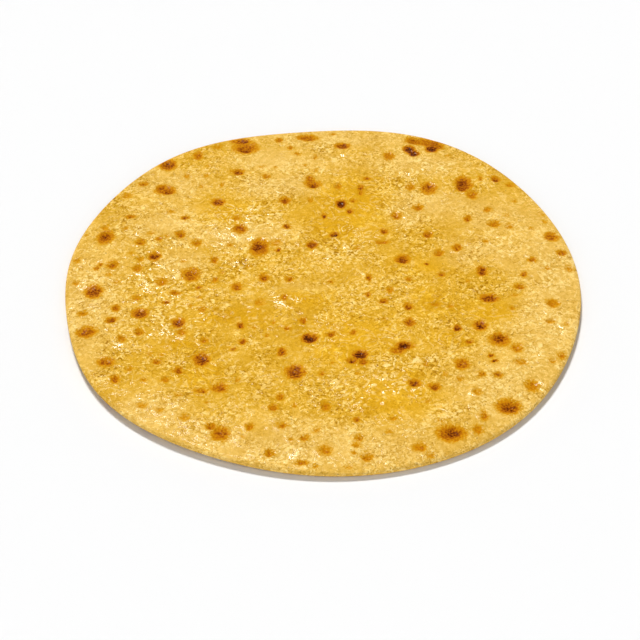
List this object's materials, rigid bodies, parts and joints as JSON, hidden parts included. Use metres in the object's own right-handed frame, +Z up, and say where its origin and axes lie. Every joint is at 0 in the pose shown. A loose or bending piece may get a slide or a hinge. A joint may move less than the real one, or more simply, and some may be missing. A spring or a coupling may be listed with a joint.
{
  "type": "butter naan",
  "caption": "Thin round flatbread with a hand-rolled outline, a rounded edge, browned dips and a buttered golden crust.",
  "frame": {"origin": "middle of the bread's outline, on the surface that it lies on", "axes": "+Z up through the thickness, from the underside to the browned upper crust; +X along the narrower width; -Y towards the side shown nearest"},
  "size_m": [0.2326, 0.2422, 0.0053],
  "materials": {
    "buttered_crust": "baked wheat crust, golden with brown spots, glossy where melted butter has soaked in"
  },
  "bodies": {
    "root": {"naan": "buttered_crust"}
  },
  "joints": []
}
